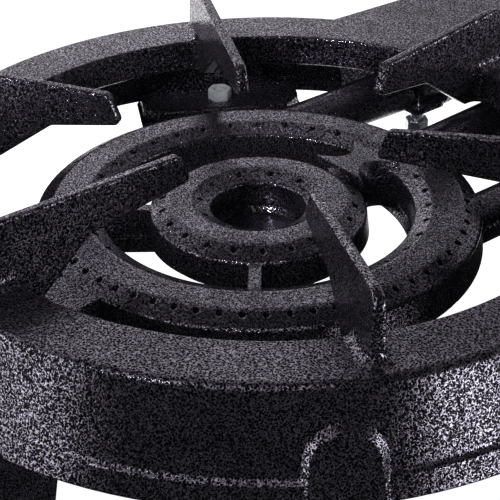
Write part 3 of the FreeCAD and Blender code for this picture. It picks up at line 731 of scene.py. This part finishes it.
@dataclass
class Studio:
    """Floor, soft lights and the camera at the photograph's angle."""

    ring_y: float = 0.04865
    ring_z: float = 0.150
    distance: float = 0.7401
    height: float = 0.3875
    turn: float = 230.0
    yaw: float = -0.83
    pitch: float = 30.81
    roll: float = -0.57
    lens: float = 113.8
    sensor: float = 36.0
    near: float = 0.01
    softboxes: tuple[Softbox, ...] = (
        Softbox("softbox_left", 202.0, 1.5, 0.3, (1.1, 1.6), 11.0),
        Softbox("softbox_right", 340.0, 1.5, -0.1, (1.75, 1.4), 28.0),
        Softbox("softbox_front", 248.0, 1.25, 1.0, (2.0, 1.5), 5.5),
        Softbox("softbox_far_pad", 238.0, 1.4, 0.95, (0.25, 0.25), 0.11, (0.158, -0.042, 0.107), 10.0))
    world_depth: Ramp = (-0.4, 0.1, 1.0, 0.01)
    world_aside: Ramp = (-0.07, 0.17, 1.15, 0.45)
    world_height: Ramp = (0.36, 0.7, 1.1, 0.4)
    floor_radius: float = 0.62
    floor_back: float = 0.27
    floor_segments: int = 96
    floor_grey: Colour = (0.82, 0.82, 0.82)
    floor_white: float = 0.9
    floor_glow: Ramp = (-0.23, -0.13, 1.9, 0.015)

    def bearing(self, azimuth: float, distance: float, height: float) -> Vector:
        """Find a place in the studio as the camera sees it.

        Args:
            azimuth: Degrees round the ring, as in Bearing.
            distance: Metres from the ring's axis.
            height: Metres above the floor.

        Returns:
            The point.
        """
        angle = math.radians(azimuth + self.turn)
        return Vector((distance * math.cos(angle), self.ring_y + distance * math.sin(angle), height))

    def camera_frame(self) -> Matrix:
        """Work out the camera's place and directions.

        Returns:
            The camera's matrix.
        """
        heading = math.radians(90.0 - self.yaw + self.turn)
        pitch, roll = math.radians(self.pitch), math.radians(self.roll)
        ahead = Vector((math.cos(heading) * math.cos(pitch), math.sin(heading) * math.cos(pitch),
                        -math.sin(pitch)))
        right = Vector((math.sin(heading), -math.cos(heading), 0.0))
        up = right.cross(ahead)
        level = right * math.cos(roll) + up * math.sin(roll)
        tall = up * math.cos(roll) - right * math.sin(roll)
        matrix = Matrix((level, tall, -ahead)).transposed().to_4x4()
        matrix.translation = self.bearing(Bearing.CAMERA.value, self.distance, self.ring_z + self.height)
        return matrix

    def camera(self) -> None:
        """Make the camera."""
        data = bpy.data.cameras.new("camera")
        data.lens = self.lens
        data.sensor_width = self.sensor
        data.clip_start = self.near
        camera = bpy.data.objects.new("camera", data)
        camera.matrix_world = self.camera_frame()
        bpy.context.scene.collection.objects.link(camera)
        bpy.context.scene.camera = camera

    def hang(self, box: Softbox) -> None:
        """Hang a softbox.

        Args:
            box: Its place, size and power.
        """
        data = bpy.data.lights.new(box.title, "AREA")
        data.shape = "RECTANGLE"
        data.size, data.size_y = box.size
        data.energy = box.power
        data.spread = math.radians(box.spread)
        place = self.bearing(box.azimuth, box.distance, box.height)
        aim = Vector(box.target or (0.0, self.ring_y, self.ring_z)) - place
        light = bpy.data.objects.new(box.title, data)
        light.rotation_mode = "QUATERNION"
        light.rotation_quaternion = aim.to_track_quat("-Z", "Y")
        light.location = place
        bpy.context.scene.collection.objects.link(light)

    def along(self, canvas: Canvas, kind: str, side: Bearing) -> Socket:
        """Measure how far a point or direction lies towards a side of the studio.

        Args:
            canvas: The tree that measures.
            kind: The texture coordinate: Object for points, Generated for the world's directions.
            side: The side.

        Returns:
            The measure's socket.
        """
        way = self.bearing(side.value, 1.0, 0.0) - Vector((0.0, self.ring_y, 0.0))
        place = canvas.add("TexCoord").outputs[kind]
        return canvas.pair("VectorMath", "DOT_PRODUCT", place, tuple(way)).outputs["Value"]

    def world(self) -> None:
        """Make the surroundings: white to the camera, darker where the camera stands."""
        world = bpy.data.worlds.new("studio")
        world.use_nodes = True
        world.node_tree.nodes.clear()
        canvas = Canvas(world.node_tree)
        level = canvas.ramp(self.along(canvas, "Generated", Bearing.CAMERA), *self.world_depth)
        aside = canvas.ramp(self.along(canvas, "Generated", Bearing.RIGHT), *self.world_aside)
        level = canvas.math("MULTIPLY", level, aside)
        way = canvas.add("TexCoord").outputs["Generated"]
        height = canvas.add("SeparateXYZ", {"Vector": way}).outputs["Z"]
        level = canvas.math("MULTIPLY", level, canvas.ramp(height, *self.world_height))
        seen = canvas.add("LightPath").outputs["Is Camera Ray"]
        strength = canvas.math("MAXIMUM", level, seen)
        back = canvas.add("Background", {"Color": (1.0, 1.0, 1.0), "Strength": strength})
        canvas.add("OutputWorld", {"Surface": back.outputs["Background"]})
        bpy.context.scene.world = world

    def floor_paint(self) -> bpy.types.Material:
        """Make the floor's material: white to the camera, shaded for the object, a glow in its gloss.

        Returns:
            The material.
        """
        pale = bpy.data.materials.new("studio_floor")
        pale.use_nodes = True
        pale.node_tree.nodes.clear()
        canvas = Canvas(pale.node_tree)
        matt = canvas.add("BsdfDiffuse", {"Color": self.floor_grey}).outputs[0]
        white = canvas.add("AddShader")
        canvas.feed(white.inputs[0], matt)
        canvas.feed(white.inputs[1], canvas.add("Emission", {"Strength": self.floor_white}).outputs[0])
        level = canvas.ramp(self.along(canvas, "Object", Bearing.CAMERA), *self.floor_glow)
        sheen = canvas.add("Emission", {"Strength": level}).outputs[0]
        paths = canvas.add("LightPath").outputs
        bounced = canvas.math("MAXIMUM", paths["Is Glossy Ray"], paths["Is Transmission Ray"])
        mirrored = canvas.add("MixShader", {"Fac": bounced})
        canvas.feed(mirrored.inputs[1], matt)
        canvas.feed(mirrored.inputs[2], sheen)
        pick = canvas.add("MixShader", {"Fac": paths["Is Camera Ray"]})
        canvas.feed(pick.inputs[1], mirrored.outputs[0])
        canvas.feed(pick.inputs[2], white.outputs[0])
        canvas.add("OutputMaterial", {"Surface": pick.outputs[0]})
        return pale

    def floor(self) -> None:
        """Lay the pale floor."""
        mesh = bpy.data.meshes.new("floor")
        shape = bmesh.new()
        middle = self.bearing(Bearing.FAR.value, self.floor_back, 0.0)
        bmesh.ops.create_circle(shape, cap_ends=True, segments=self.floor_segments, radius=self.floor_radius,
                                matrix=Matrix.Translation(middle))
        shape.to_mesh(mesh)
        shape.free()
        floor = bpy.data.objects.new("floor", mesh)
        bpy.context.scene.collection.objects.link(floor)
        mesh.materials.append(self.floor_paint())

    def build(self) -> None:
        """Set up the whole studio."""
        self.floor()
        for box in self.softboxes:
            self.hang(box)
        self.world()
        self.camera()
        bpy.context.scene.view_settings.view_transform = "Standard"


def main() -> None:
    """Build the sub-assemblies in order."""
    logging.basicConfig(level=logging.INFO)
    fasteners = Fasteners()
    fasteners.build()
    for part in (Castings(), fasteners, GasTrain()):
        part.dress()
        LOG.info("%s dressed", type(part).__name__)
    Studio().build()


if __name__ == "__main__":
    main()
